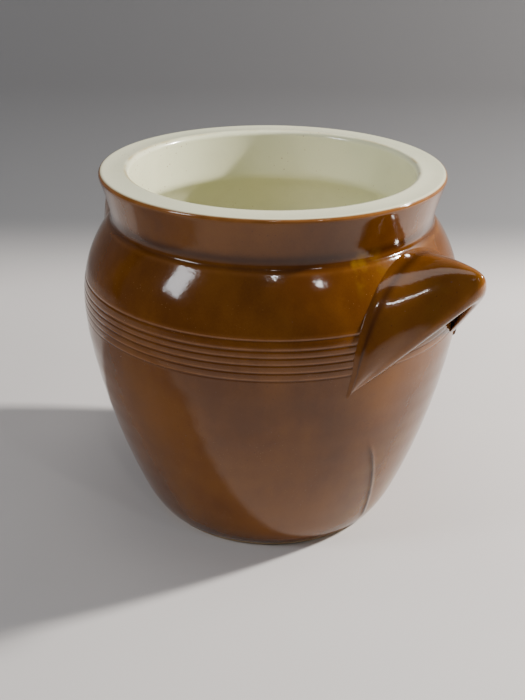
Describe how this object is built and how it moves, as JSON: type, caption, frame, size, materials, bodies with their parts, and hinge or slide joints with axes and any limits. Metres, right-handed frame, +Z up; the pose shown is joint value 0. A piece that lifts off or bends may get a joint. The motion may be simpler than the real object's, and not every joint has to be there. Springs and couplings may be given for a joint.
{
  "type": "stoneware fermenting crock",
  "caption": "Lidless brown-glazed stoneware crock with a cream-glazed inside and flat rim and two hooded ear lugs on its shoulder",
  "frame": {"origin": "middle of the foot, on the surface that the crock stands on", "axes": "+Z up through the mouth, +X out through one ear, +Y across"},
  "size_m": [0.319, 0.252, 0.24],
  "materials": {
    "stoneware": "unglazed fired clay, matt, fine grog",
    "slip": "fired luting slip, matt",
    "cream_glaze": "glossy cream glaze",
    "brown_glaze": "very glossy treacle brown glaze with ochre breaks"
  },
  "bodies": {
    "root": {"stoneware_body": "stoneware", "cream_liner_glaze": "cream_glaze", "brown_outer_glaze": "brown_glaze", "ear_right": "stoneware", "ear_left": "stoneware", "ear_right_slip": "slip", "ear_left_slip": "slip", "ear_right_glaze": "brown_glaze", "ear_left_glaze": "brown_glaze"}
  },
  "joints": []
}
